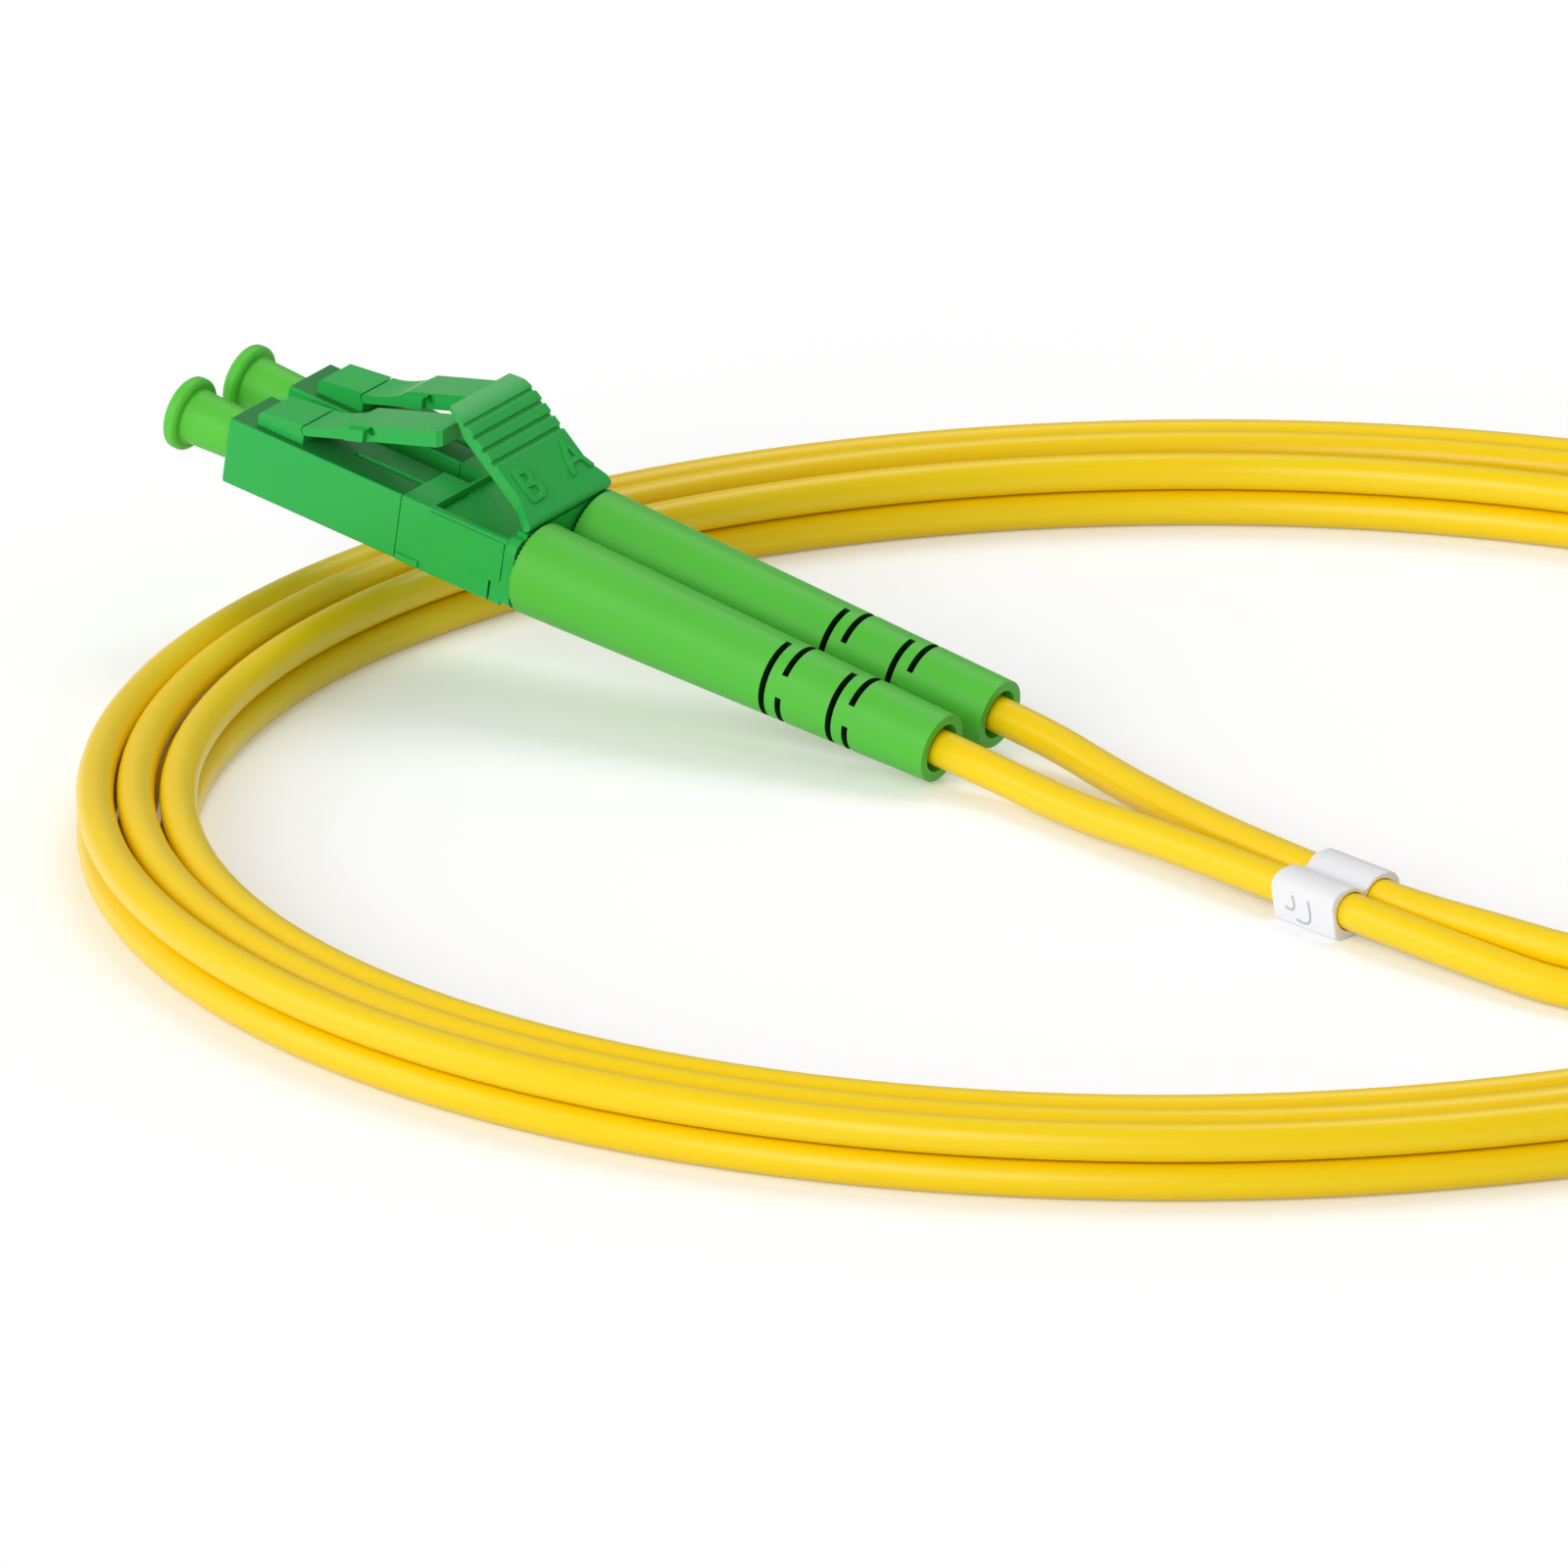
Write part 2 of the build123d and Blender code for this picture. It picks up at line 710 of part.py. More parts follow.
def make_cord_clip(lower, upper, name):
    """Sleeve that holds the two strands together: a lobe over each, flat sides below."""
    middle = (lower[0] + lower[1] + upper[0] + upper[1]) / 4
    ahead = (lower[1] - lower[0]).normalized()
    across = (upper[0] + upper[1] - lower[0] - lower[1]).normalized()
    height = cord_diameter + 2 * cord_clip_wall
    opening = cord_diameter + 2 * cord_clip_clearance
    seat = Plane(origin=middle, x_dir=across, z_dir=ahead)
    with BuildPart() as cord_clip:
        with BuildSketch(seat.offset(-cord_clip_length / 2)) as section:
            with Locations((0, -height / 4)):
                Rectangle(strand_pitch + height, height / 2)
            fillet(section.vertices().group_by(Axis.Y)[0], cord_clip_round)
            with Locations((strand_pitch / 2, 0), (-strand_pitch / 2, 0)):
                Circle(height / 2)
            with Locations((strand_pitch / 2, 0), (-strand_pitch / 2, 0)):
                Circle(opening / 2, mode=Mode.SUBTRACT)
        extrude(amount=cord_clip_length)
    finish(cord_clip.part, name)


make_cord_clip(lower_near[0:2], upper_near[0:2], "near_cord_clip")
make_cord_clip(lower_far[2:4], upper_far[2:4], "far_cord_clip")

os.makedirs("parts", exist_ok=True)
for piece in pieces:
    export_step(piece, f"parts/{piece.label}.step")
print(len(pieces), "pieces")
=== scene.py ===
import json
import math

import bmesh
import bpy
from mathutils import Matrix, Vector


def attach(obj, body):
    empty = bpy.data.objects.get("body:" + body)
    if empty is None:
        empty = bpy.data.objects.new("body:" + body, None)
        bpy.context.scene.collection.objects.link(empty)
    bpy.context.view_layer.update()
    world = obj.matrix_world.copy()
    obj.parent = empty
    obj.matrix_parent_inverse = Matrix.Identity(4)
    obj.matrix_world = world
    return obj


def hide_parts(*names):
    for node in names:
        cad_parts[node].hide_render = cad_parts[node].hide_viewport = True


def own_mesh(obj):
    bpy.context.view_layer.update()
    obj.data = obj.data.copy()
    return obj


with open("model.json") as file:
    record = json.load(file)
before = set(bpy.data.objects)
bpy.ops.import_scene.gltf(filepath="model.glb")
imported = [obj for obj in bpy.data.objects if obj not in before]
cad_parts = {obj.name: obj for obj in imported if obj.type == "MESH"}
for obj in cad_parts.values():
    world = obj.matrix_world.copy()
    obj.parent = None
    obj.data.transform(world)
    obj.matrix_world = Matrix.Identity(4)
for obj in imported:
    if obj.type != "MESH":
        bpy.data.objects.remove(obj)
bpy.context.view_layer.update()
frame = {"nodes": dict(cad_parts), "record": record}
bodies = frame["record"]["behaviour"]["bodies"]
bodyOfNode = {node: body for body, nodes in bodies.items() for node in nodes}
rootBody = "cord_set"
mm = 0.001
print("frame loaded:", len(frame["nodes"]), "pieces")

# where the connectors lie, in mm and degrees
# places are from the coil's centre, and lengths run back from a plug's nose
layout = {
    "coilCentre": (-16.45, -11.14),
    "nearNose": (-55.82, 40.32, 13.55),
    "nearHeading": -34.24,
    "nearNoseUp": 12.0,
    "nearRoll": 3.83,
    "farBoots": (70.94, -23.26),
    "farHeading": 250.0,
    "farNoseHeight": 2.95,
    "bootEnd": 52.65,
    "plugPitch": 6.25,
}


def fromCentre(point):
    return Vector((point[0] + layout["coilCentre"][0], point[1] + layout["coilCentre"][1], point[2]))


def turnedTo(x, y, z):
    return Matrix((x, y, z)).transposed()


# x runs back along the plugs, y across them and z to their upper side
def connectorMatrix(nose, heading, noseUp, roll):
    h, n, r = math.radians(heading), math.radians(noseUp), math.radians(roll)
    back = Vector((math.cos(h) * math.cos(n), math.sin(h) * math.cos(n), -math.sin(n)))
    side = Vector((-math.sin(h), math.cos(h), 0))
    upper = back.cross(side)
    up = upper * math.cos(r) - side * math.sin(r)
    return Matrix.Translation(nose) @ turnedTo(back, up.cross(back), up).to_4x4()


farHeading = math.radians(layout["farHeading"])
farNose = (
    layout["farBoots"][0] - layout["bootEnd"] * math.cos(farHeading),
    layout["farBoots"][1] - layout["bootEnd"] * math.sin(farHeading),
    layout["farNoseHeight"],
)
places = {
    "near": connectorMatrix(
        fromCentre(layout["nearNose"]), layout["nearHeading"], layout["nearNoseUp"], layout["nearRoll"]
    ),
    "far": connectorMatrix(fromCentre(farNose), layout["farHeading"], 0, 0),
}
sideOffset = {"a": layout["plugPitch"] / 2, "b": -layout["plugPitch"] / 2}


def onConnector(end, x, y, z):
    return places[end] @ Vector((x, y, z))


def newObject(name, data):
    obj = bpy.data.objects.new(name, data)
    bpy.context.scene.collection.objects.link(obj)
    return obj


# a curve or text as it would look, as a mesh
def meshOf(curve):
    holder = newObject(curve.name, curve)
    mesh = bpy.data.meshes.new_from_object(holder)
    bpy.data.objects.remove(holder)
    return mesh


def smoothFaces(shape, sharpAngle):
    for face in shape.faces:
        face.smooth = True
    for edge in shape.edges:
        edge.smooth = edge.calc_face_angle(0.0) < math.radians(sharpAngle)


# shader maths, written as expressions on sockets
class Sock:
    def __init__(self, mat, socket):
        self.mat = mat
        self.socket = socket

    def maths(self, operation, *values):
        return self.mat.node("ShaderNodeMath", {"operation": operation}, list(values))

    def __add__(self, other):
        return self.maths("ADD", self, other)

    def __radd__(self, other):
        return self.maths("ADD", other, self)

    def __sub__(self, other):
        return self.maths("SUBTRACT", self, other)

    def __rsub__(self, other):
        return self.maths("SUBTRACT", other, self)

    def __mul__(self, other):
        return self.maths("MULTIPLY", self, other)

    def __rmul__(self, other):
        return self.maths("MULTIPLY", other, self)


class Finish:
    def __init__(self, name):
        self.material = bpy.data.materials.new(name)
        self.material.use_nodes = True
        self.tree = self.material.node_tree
        self.tree.nodes.clear()

    def node(self, kind, settings=None, values=None, out=0):
        made = self.tree.nodes.new(kind)
        for key, value in (settings or {}).items():
            setattr(made, key, value)
        pairs = enumerate(values) if isinstance(values, list) else (values or {}).items()
        for key, value in pairs:
            if isinstance(value, Sock):
                self.tree.links.new(value.socket, made.inputs[key])
            else:
                made.inputs[key].default_value = value
        return Sock(self, made.outputs[out]) if made.outputs else None

    # a noise in the object's own space, 0.5 on average
    def noise(self, scale, detail):
        place = self.node("ShaderNodeTexCoord", out="Object")
        return self.node("ShaderNodeTexNoise", None, {"Vector": place, "Scale": scale, "Detail": detail})

    def mixColour(self, amount, low, high):
        values = {0: amount, 6: (*fromSrgb(*low), 1), 7: (*fromSrgb(*high), 1)}
        return self.node("ShaderNodeMix", {"data_type": "RGBA"}, values, out=2)

    def bump(self, height, strength, distance):
        values = {"Strength": strength, "Distance": distance, "Height": height}
        return self.node("ShaderNodeBump", None, values)

    def output(self, shader):
        self.node("ShaderNodeOutputMaterial", None, {"Surface": shader})
        return self.material


def fromSrgb(*colour):
    shares = [channel / 255 for channel in colour]
    return tuple(c / 12.92 if c <= 0.04045 else ((c + 0.055) / 1.055) ** 2.4 for c in shares)


plastics = {
    "housingGreen": dict(pale=(46, 182, 80), deep=(40, 172, 74), roughness=0.27, gloss=0.28, grain=0.02),
    # a darker copy of the housing's green, painted shade for the body's top behind the latch
    "housingPaintedShade": dict(pale=(34, 132, 60), deep=(30, 124, 56), roughness=0.3, gloss=0.2, grain=0.02),
    "bootGreen": dict(pale=(89, 196, 64), deep=(83, 188, 58), roughness=0.45, gloss=0.28, grain=0.05),
    # a dark copy of the boot's green, painted shade for the inside of its flex slots
    "bootPaintedShade": dict(pale=(20, 62, 22), deep=(16, 54, 18), roughness=0.7, gloss=0.1, grain=0.02),
    "capGreen": dict(pale=(94, 204, 66), deep=(88, 194, 60), roughness=0.45, gloss=0.25, grain=0.05),
    "jacketYellow": dict(pale=(250, 213, 3), deep=(247, 209, 1), roughness=0.32, gloss=0.35, grain=0.03),
    "clipWhite": dict(pale=(238, 238, 240), deep=(234, 234, 236), roughness=0.35, gloss=0.4, grain=0.03),
    # a grey copy of the clip's white, painted shade for the slits round its snaps
    "clipPaintedShade": dict(pale=(196, 197, 201), deep=(188, 189, 194), roughness=0.4, gloss=0.3, grain=0.03),
    "fibreWhite": dict(pale=(232, 231, 224), deep=(226, 225, 216), roughness=0.45, gloss=0.4, grain=0.03),
    "ceramicWhite": dict(pale=(236, 235, 230), deep=(232, 231, 224), roughness=0.12, gloss=0.5, grain=0.0),
}
moulding = {
    "driftScale": 90.0,
    "grainScale": 2600.0,
    "detail": 2.0,
    "grainDepth": 0.0001,
    "roughnessDrift": 0.06,
}


def plastic(name):
    made = plastics[name]
    mat = Finish(name)
    drift = mat.noise(moulding["driftScale"], moulding["detail"])
    grain = mat.noise(moulding["grainScale"], moulding["detail"])
    return mat.output(mat.node("ShaderNodeBsdfPrincipled", None, {
        "Base Color": mat.mixColour(drift, made["deep"], made["pale"]),
        "Roughness": made["roughness"] + moulding["roughnessDrift"] * (drift - 0.5),
        "Specular IOR Level": made["gloss"],
        "Normal": mat.bump(grain, made["grain"], moulding["grainDepth"]),
    }))


metal = {
    "bright": (176, 177, 180),
    "dull": (150, 151, 155),
    "roughness": 0.32,
    "roughnessDrift": 0.1,
    "lineScale": 5200.0,
    "detail": 3.0,
    "brushing": 0.12,
    "lineDepth": 0.00005,
}


def turnedSteel():
    mat = Finish("turnedSteel")
    lines = mat.noise(metal["lineScale"], metal["detail"])
    return mat.output(mat.node("ShaderNodeBsdfPrincipled", None, {
        "Base Color": mat.mixColour(lines, metal["dull"], metal["bright"]),
        "Metallic": 1.0,
        "Roughness": metal["roughness"] + metal["roughnessDrift"] * (lines - 0.5),
        "Normal": mat.bump(lines, metal["brushing"], metal["lineDepth"]),
    }))


finishes = {name: plastic(name) for name in plastics}
finishes["turnedSteel"] = turnedSteel()
print("finishes mixed:", ", ".join(finishes))

slotFinish = {
    "housing_green": "housingGreen",
    "boot_green": "bootGreen",
    "cap_green": "capGreen",
    "jacket_yellow": "jacketYellow",
    "clip_white": "clipWhite",
    "ceramic": "ceramicWhite",
    "fibre_white": "fibreWhite",
    "steel": "turnedSteel",
}
slotOfNode = {entry["node"]: entry["material_slot"] for entry in frame["record"]["subparts"]}
for node, slotName in slotOfNode.items():
    for slot in frame["nodes"][node].material_slots:
        slot.material = finishes[slotFinish[slotName]]

# moulded edges: each shell that shows gets small rounds, which catch the light
softEdges = {
    "widths": {
        "front_housing": 0.1,
        "latch": 0.08,
        "dust_cap": 0.12,
        "boot": 0.05,
        "duplex_clip": 0.07,
        "trigger": 0.06,
    },
    "steps": 2,
    "sharpAngle": 30,
    "flatAngle": 0.8,  # faces that turn by less are one
    "weld": 0.003,
}


def softened(node, width):
    mesh = frame["nodes"][node].data.copy()
    shape = bmesh.new()
    shape.from_mesh(mesh)
    bmesh.ops.remove_doubles(shape, verts=shape.verts, dist=softEdges["weld"] * mm)
    flat = math.radians(softEdges["flatAngle"])
    bmesh.ops.dissolve_limit(shape, angle_limit=flat, verts=shape.verts, edges=shape.edges)
    smoothFaces(shape, softEdges["sharpAngle"])
    shape.to_mesh(mesh)
    shape.free()
    shell = newObject(f"soft_{node}", mesh)
    bevel = shell.modifiers.new("rounds", "BEVEL")
    bevel.width = width * mm
    bevel.segments = softEdges["steps"]
    bevel.limit_method = "ANGLE"
    bevel.angle_limit = math.radians(softEdges["sharpAngle"])
    bevel.harden_normals = True
    bpy.context.view_layer.update()
    rounded = shell.evaluated_get(bpy.context.evaluated_depsgraph_get())
    baked = bpy.data.meshes.new_from_object(rounded)
    shell.modifiers.clear()
    shell.data = baked
    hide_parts(node)
    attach(shell, bodyOfNode[node])
    return shell


# painted shade: faces inside a boot's flex slots get a dark green, where shade falls, but not its mouth
bootShape = {
    "start": 22.05,
    "end": layout["bootEnd"],
    "startRadius": 2.95,
    "endRadius": 2.2,
    "skin": 0.15,
    "mouth": 3.6,
}


def darkenSlots(boot, node):
    toPlug = places[node.split("_")[0]].inverted()
    middle = sideOffset[node[-1]]
    taper = (bootShape["startRadius"] - bootShape["endRadius"]) / (bootShape["end"] - bootShape["start"])
    boot.data.materials.append(finishes["bootPaintedShade"])
    for face in boot.data.polygons:
        x, y, z = toPlug @ (face.center / mm)
        outside = bootShape["startRadius"] - taper * (x - bootShape["start"])
        inside = math.hypot(y - middle, z) < outside - bootShape["skin"]
        if inside and x < bootShape["end"] - bootShape["mouth"]:
            face.material_index = 1


# painted shade: the body's top is darker behind the latch's foot, where the arm and the clip shade it
bodyTop = {"lowest": 1.6, "highest": 2.4, "upright": 0.9}


def darkenTop(body, node):
    toPlug = places[node.split("_")[0]].inverted()
    turn = toPlug.to_3x3()
    body.data.materials.append(finishes["housingPaintedShade"])
    for face in body.data.polygons:
        height = (toPlug @ (face.center / mm)).z
        if bodyTop["lowest"] < height < bodyTop["highest"] and (turn @ face.normal).z > bodyTop["upright"]:
            face.material_index = 1


shells = []
for node in slotOfNode:
    for piece, width in softEdges["widths"].items():
        if piece in node:
            shell = softened(node, width)
            shells.append(shell)
            if piece == "boot":
                darkenSlots(shell, node)
            if piece == "front_housing":
                darkenTop(shell, node)
print("edges rounded on", len(shells), "shells")


def liveSpring(end, side):
    node = f"{end}_spring_{side}"
    coiled = newObject(f"{end}_live_spring_{side}", frame["nodes"][node].data.copy())
    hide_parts(node)
    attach(coiled, rootBody)
    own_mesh(coiled)


for end in places:
    for side in sideOffset:
        liveSpring(end, side)
print("springs set behind the ferrules")

# a small raised letter on the trigger over each plug
letters = {
    "root": (21.94, 3.44),  # where the plate's face starts, back along the plug and up
    "slope": 35.8,
    "height": 2.3,
    "heightShare": 0.7,  # a capital's height in the font's size
    "raise": 0.12,
    "edge": 0.04,
    "steps": 4,
    "marks": {"A": (1.25, 1.55), "B": (0.95, -3.1)},  # up the slope and across, to the lower left corner
}


def triggerLetter(end, mark):
    name = f"{end}_letter_{mark.lower()}"
    text = bpy.data.curves.new(name, "FONT")
    text.body = mark
    text.size = letters["height"] / letters["heightShare"] * mm
    text.extrude = letters["raise"] * mm
    text.bevel_depth = letters["edge"] * mm
    text.resolution_u = letters["steps"]
    mesh = meshOf(text)
    up, across = letters["marks"][mark]
    rootX, rootZ = letters["root"]
    slopeX, slopeZ = math.cos(math.radians(letters["slope"])), math.sin(math.radians(letters["slope"]))
    corner = onConnector(end, rootX - up * slopeX, across, rootZ + up * slopeZ)
    face = turnedTo((0, 1, 0), (-slopeX, 0, slopeZ), (slopeZ, 0, slopeX))
    mesh.transform(Matrix.Translation(corner * mm) @ (places[end].to_3x3() @ face).to_4x4())
    mesh.materials.clear()
    mesh.materials.append(finishes["housingGreen"])
    letter = newObject(name, mesh)
    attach(letter, f"{end}_trigger")


for end in places:
    for mark in letters["marks"]:
        triggerLetter(end, mark)
print("letters raised on both triggers")

# the cord's two strands: apart at the plugs, one beside or on the other between the clips
cordSizes = {
    "diameter": 2.3,
    "strandPitch": 2.36,
    "tubeStart": 50.2,
    "nearExit": 56.0,
    "farExit": 58.15,
    "steps": 8,
    "sides": 6,
}
# routes in the order in which a strand runs, from the coil's centre
nearBranch = {"b": [(-7.5, 0.45, 1.3), (-1.5, -7.0, 1.6)], "a": [(-4.7, 5.9, 1.4), (0.1, -3.2, 1.65)]}
nearPair = [
    (4.13, -13.97, 1.63), (10.57, -22.02, 1.63), (15.9, -28.08, 1.4), (21.63, -33.98, 1.15),
    (28.77, -36.62, 1.15), (36.23, -35.61, 1.15), (42.71, -31.28, 1.15), (47.9, -25.12, 1.15),
    (53.2, -17.16, 1.15), (57.2, -7.6, 1.15), (59.6, 2.4, 1.15),
]
nearPairTurns = [8, 8, 27, 45, 58, 69, 77, 82, 86, 88, 90]  # 0 is beside on the left, 90 on top
farPair = [(28.4, -60.9, 1.15), (37.3, -57.65, 1.4), (46.1, -54.1, 1.87), (54.5, -49.6, 1.87)]
farPairTurns = [90, 65, 40, 40]
farBranch = {"a": [(62.0, -43.75, 1.7), (68.1, -36.5, 2.3)], "b": [(59.8, -42.0, 3.0), (63.6, -34.7, 2.95)]}
coil = {
    "radii": (60.36, 63.82, 66.22),  # inner, middle and outer turn
    "centres": ((-0.81, -0.93), (0.05, 0.1), (0, 0)),
    "start": 21.0,
    "end": 995.0,
    "points": 50,
    "stepFrom": 291.0,  # each turn moves out to the next over this stretch
    "stepTo": 337.0,
}


def secondStrand(route, turns):
    points = []
    for index, turn in enumerate(turns):
        ahead = (route[min(index + 1, len(route) - 1)] - route[max(index - 1, 0)]).normalized()
        left = Vector((-ahead.y, ahead.x, 0))
        angle = math.radians(turn)
        aside = left * math.cos(angle) + Vector((0, 0, 1)) * math.sin(angle)
        points.append(route[index] + cordSizes["strandPitch"] * aside)
    return points


# how many turns further out than the inner one the coil is at an angle, with smooth steps
def turnsOut(angle):
    out = 0.0
    for done in range(len(coil["radii"]) - 1):
        along = (angle - coil["stepFrom"] - 360 * done) / (coil["stepTo"] - coil["stepFrom"])
        along = min(max(along, 0.0), 1.0)
        out += along * along * (3 - 2 * along)
    return out


def coilPoints(height):
    step = (coil["end"] - coil["start"]) / (coil["points"] - 1)
    stretch = 1 / math.cos(math.radians(step) / 2)  # the spline cuts inside its points
    circles = [(radius * stretch, *centre) for radius, centre in zip(coil["radii"], coil["centres"])]
    points = []
    for index in range(coil["points"]):
        angle = coil["start"] + step * index
        out = turnsOut(angle)
        low = min(int(out), len(circles) - 2)
        mix = out - low
        radius, x, y = (a * (1 - mix) + b * mix for a, b in zip(circles[low], circles[low + 1]))
        x += radius * math.cos(math.radians(angle))
        y += radius * math.sin(math.radians(angle))
        points.append(fromCentre((x, y, height)))
    return points


def smoothTube(name, points, radius, finish, steps, sides):
    curve = bpy.data.curves.new(name, "CURVE")
    curve.dimensions = "3D"
    spline = curve.splines.new("NURBS")
    spline.points.add(len(points) - 1)
    for place, point in zip(spline.points, points):
        place.co = (*point, 1)
    spline.order_u = 3
    spline.use_endpoint_u = True
    spline.resolution_u = steps
    curve.bevel_depth = radius * mm
    curve.bevel_resolution = sides
    curve.use_fill_caps = True
    curve.materials.append(finish)
    tube = newObject(name, curve)
    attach(tube, rootBody)
    return tube


def splineLength(strand):
    bare = strand.data.copy()
    bare.bevel_depth = 0
    mesh = meshOf(bare)
    runs = (mesh.vertices[a].co - mesh.vertices[b].co for a, b in (edge.vertices for edge in mesh.edges))
    total = sum(run.length for run in runs)
    bpy.data.meshes.remove(mesh)
    return total


lowerNear = [fromCentre(point) for point in nearPair]
upperNear = secondStrand(lowerNear, nearPairTurns)
lowerFar = [fromCentre(point) for point in farPair]
upperFar = secondStrand(lowerFar, farPairTurns)
strandRadius = cordSizes["diameter"] / 2
lowerCoil = coilPoints(strandRadius)
upperCoil = coilPoints(strandRadius + cordSizes["strandPitch"])


# a strand's straight stretch in its plug, from the crimp outwards
def plugStretch(end, side):
    return [onConnector(end, cordSizes[key], sideOffset[side], 0) for key in ("tubeStart", f"{end}Exit")]


def strandRoute(nearSide, farSide, middle):
    leaving = plugStretch("near", nearSide) + [fromCentre(point) for point in nearBranch[nearSide]]
    arriving = [fromCentre(point) for point in farBranch[farSide]] + plugStretch("far", farSide)[::-1]
    return leaving + middle + arriving


strands = {  # the plugs that a strand joins, near and far, and its route between them
    "lower_strand": ("b", "a", lowerNear + lowerCoil + lowerFar),
    "upper_strand": ("a", "b", upperNear + upperCoil + upperFar),
}
for name, (nearSide, farSide, middle) in strands.items():
    route = [point * mm for point in strandRoute(nearSide, farSide, middle)]
    steps, sides = cordSizes["steps"], cordSizes["sides"]
    strand = smoothTube(name, route, strandRadius, finishes["jacketYellow"], steps, sides)
    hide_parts(f"near_cord_{nearSide}", "cord_coil", f"far_cord_{farSide}")
    length = splineLength(strand)
    print(name, "is", round(length, 4), "m long")
    onConnector("near", layout["bootEnd"], sideOffset[nearSide], 0) * mm
print("cord laid in three turns")

# the cord clip: a sleeve with flat sides and a lobe over each strand
# on its near side, the outlines of two snaps, in a grey that paints the shade in their slits
clipShape = {
    "length": 5.7,
    "halfOutline": [  # across the clip and up, from the strands' middle
        (-2.45, -1.51), (-2.69, -1.25), (-2.69, 0.72), (-2.5, 1.12), (-2.16, 1.4),
        (-1.7, 1.51), (-1.0, 1.5), (-0.62, 1.36), (-0.3, 1.1),
    ],
    "groove": (0.0, 1.02),
    "opening": 1.19,
    "openingStep": 5,
    "rim": 0.1,
    "rimSteps": 3,
    "sharpAngle": 40,
    "weld": 0.002,
    "line": 0.08,
    "lineSteps": 12,
    "lineSides": 2,
    "snaps": {  # along the clip from its boot end, and up
        "small": [(2.0, 0.62), (2.15, 0.1), (1.98, -0.3), (1.6, -0.4), (1.25, -0.28)],
        "large": [(3.45, 0.62), (3.6, -0.25), (3.35, -0.85), (2.75, -1.0), (2.2, -0.88)],
    },
}


# the clip's x runs from the lower strand to the upper one, its z along both
def clipSeat(lower, upper):
    middle = (lower[0] + lower[1] + upper[0] + upper[1]) / 4
    ahead = (lower[1] - lower[0]).normalized()
    across = (upper[0] + upper[1] - lower[0] - lower[1]).normalized()
    return Matrix.Translation(middle * mm) @ turnedTo(across, ahead.cross(across), ahead).to_4x4()


# both strands' openings, where they are outside each other
def clipOpening():
    half = cordSizes["strandPitch"] / 2
    radius = clipShape["opening"]
    meet = math.sqrt(radius ** 2 - half ** 2)
    angles = [math.radians(degrees) for degrees in range(0, 360, clipShape["openingStep"])]
    circle = [(half + radius * math.cos(angle), radius * math.sin(angle)) for angle in angles]
    right = [(x, y) for x, y in circle if x > 0 and (abs(y) >= meet or x >= half)]
    return sorted(right + [(-x, -y) for x, y in right], key=lambda point: math.atan2(point[1], point[0]))


def clipSleeve(end, seat):
    name = f"{end}_clip_sleeve"
    left = clipShape["halfOutline"]
    outline = left + [clipShape["groove"]] + [(-x, y) for x, y in reversed(left)]
    section = bpy.data.curves.new(name, "CURVE")
    section.dimensions = "2D"
    section.fill_mode = "BOTH"
    for points in (outline, clipOpening()):
        spline = section.splines.new("POLY")
        spline.points.add(len(points) - 1)
        spline.use_cyclic_u = True
        for place, (x, y) in zip(spline.points, points):
            place.co = (x * mm, y * mm, 0, 1)
    section.extrude = (clipShape["length"] / 2 - clipShape["rim"]) * mm
    section.bevel_depth = clipShape["rim"] * mm
    section.bevel_resolution = clipShape["rimSteps"]
    section.offset = -clipShape["rim"] * mm
    mesh = meshOf(section)
    mesh.transform(seat)
    shape = bmesh.new()
    shape.from_mesh(mesh)
    bmesh.ops.remove_doubles(shape, verts=shape.verts, dist=clipShape["weld"] * mm)
    bmesh.ops.recalc_face_normals(shape, faces=shape.faces)
    smoothFaces(shape, clipShape["sharpAngle"])
    shape.to_mesh(mesh)
    shape.free()
    mesh.materials.clear()
    mesh.materials.append(finishes["clipWhite"])
    sleeve = newObject(name, mesh)
    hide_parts(f"{end}_cord_clip")
    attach(sleeve, rootBody)


def clipSnap(end, kind, seat):
    nearWall = min(x for x, y in clipShape["halfOutline"])
    bootEdge = -clipShape["length"] / 2
    outline = clipShape["snaps"][kind]
    points = [seat @ (Vector((nearWall, high, bootEdge + along)) * mm) for along, high in outline]
    steps, sides = clipShape["lineSteps"], clipShape["lineSides"]
    # each outline is a thin raised line in painted shade
    snap = smoothTube(f"{end}_snap_{kind}", points, clipShape["line"], finishes["clipPaintedShade"], steps, sides)


clipSeats = {"near": clipSeat(lowerNear[:2], upperNear[:2]), "far": clipSeat(lowerFar[2:], upperFar[2:])}
for end, seat in clipSeats.items():
    clipSleeve(end, seat)
    for kind in clipShape["snaps"]:
        clipSnap(end, kind, seat)
print("cord clips closed round both strands")

# floor, light and camera
studio = {
    "floorSize": 6.0,
    "floorColour": (0.84, 0.87, 0.93),
    "lift": (0.264, 0.237, 0.185),  # what the lit floor lacks to pure white, so that only shadows show on it
    "worldStrength": 0.38,
    "lampDistance": 0.5,
}
lamps = {  # where each soft light comes from, how many degrees wide it looks and how strong it is
    "backLamp": {"from": (0.3, 0.5, 0.95), "wide": 35, "strength": 0.85},
    "sideLamp": {"from": (-1.0, 0.1, 0.35), "wide": 40, "strength": 0.6},
    "frontLamp": {"from": (-0.55, -0.85, 0.45), "wide": 40, "strength": 1.6},
}
viewpoint = {  # from the coil's centre, in mm and degrees
    "at": (-24.6386, -1366.1056, 466.1421),
    "down": 18.72,
    "roll": -0.6413,
    "focalPixels": 24386.1,
    "imageWidth": 1600,
    "sensor": 36.0,
    "nearest": 0.01,
    "furthest": 50,
}


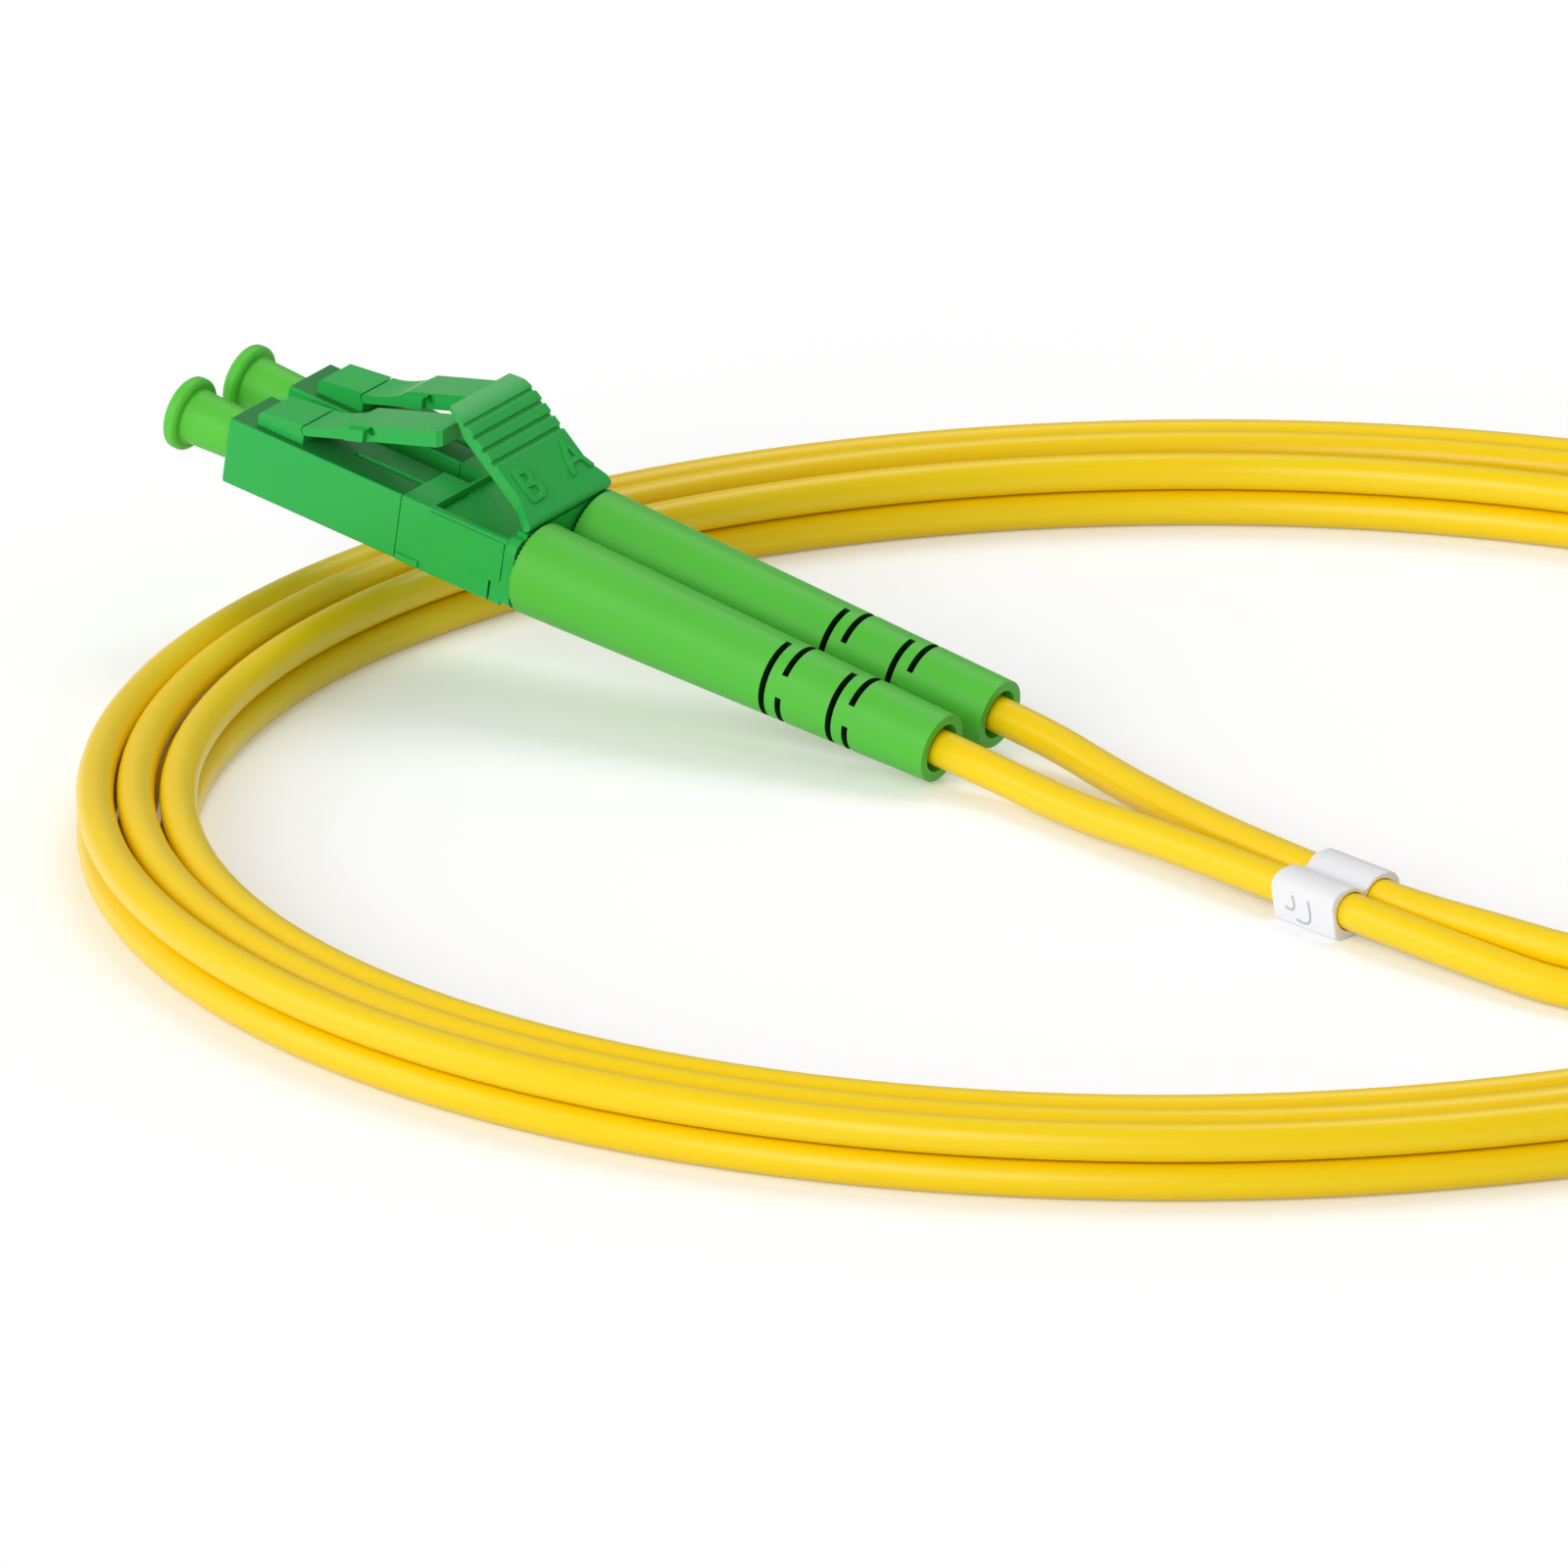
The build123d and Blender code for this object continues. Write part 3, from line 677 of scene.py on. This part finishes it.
def floorFinish():
    mat = Finish("paleFloor")
    toCamera = mat.node("ShaderNodeLightPath", out="Is Camera Ray")
    toGloss = mat.node("ShaderNodeLightPath", out="Is Glossy Ray")
    diffuse = mat.node("ShaderNodeBsdfDiffuse", None, {"Color": (*studio["floorColour"], 1)})
    seen = toCamera + toGloss
    glow = mat.node("ShaderNodeEmission", None, {"Color": (*studio["lift"], 1), "Strength": seen})
    return mat.output(mat.node("ShaderNodeAddShader", None, [diffuse, glow]))


floorMesh = bpy.data.meshes.new("floor")
half = studio["floorSize"] / 2
corners = [(-half, -half, 0), (half, -half, 0), (half, half, 0), (-half, half, 0)]
floorMesh.from_pydata(corners, [], [(0, 1, 2, 3)])
floorMesh.materials.append(floorFinish())
newObject("floor", floorMesh)

world = bpy.data.worlds.new("studio")
bpy.context.scene.world = world
world.use_nodes = True
background = world.node_tree.nodes["Background"]
background.inputs["Color"].default_value = (1, 1, 1, 1)
background.inputs["Strength"].default_value = studio["worldStrength"]

for name, made in lamps.items():
    lamp = bpy.data.lights.new(name, "SUN")
    lamp.angle = math.radians(made["wide"])
    lamp.energy = made["strength"]
    stand = newObject(name, lamp)
    stand.location = Vector(made["from"]) * studio["lampDistance"]
    stand.rotation_euler = (-Vector(made["from"])).to_track_quat("-Z", "Y").to_euler()
print("floor and", len(lamps), "lamps set")

cameraData = bpy.data.cameras.new("viewCamera")
cameraData.sensor_width = viewpoint["sensor"]
cameraData.lens = viewpoint["focalPixels"] / viewpoint["imageWidth"] * viewpoint["sensor"]
cameraData.clip_start = viewpoint["nearest"]
cameraData.clip_end = viewpoint["furthest"]
camera = newObject("viewCamera", cameraData)
tilt = Matrix.Rotation(math.radians(90 - viewpoint["down"]), 4, "X")
roll = Matrix.Rotation(math.radians(viewpoint["roll"]), 4, "Z")
camera.matrix_world = Matrix.Translation(fromCentre(viewpoint["at"]) * mm) @ tilt @ roll
bpy.context.scene.camera = camera
bpy.context.scene.view_settings.view_transform = "Standard"
print("camera set, lens", round(cameraData.lens, 1), "mm")
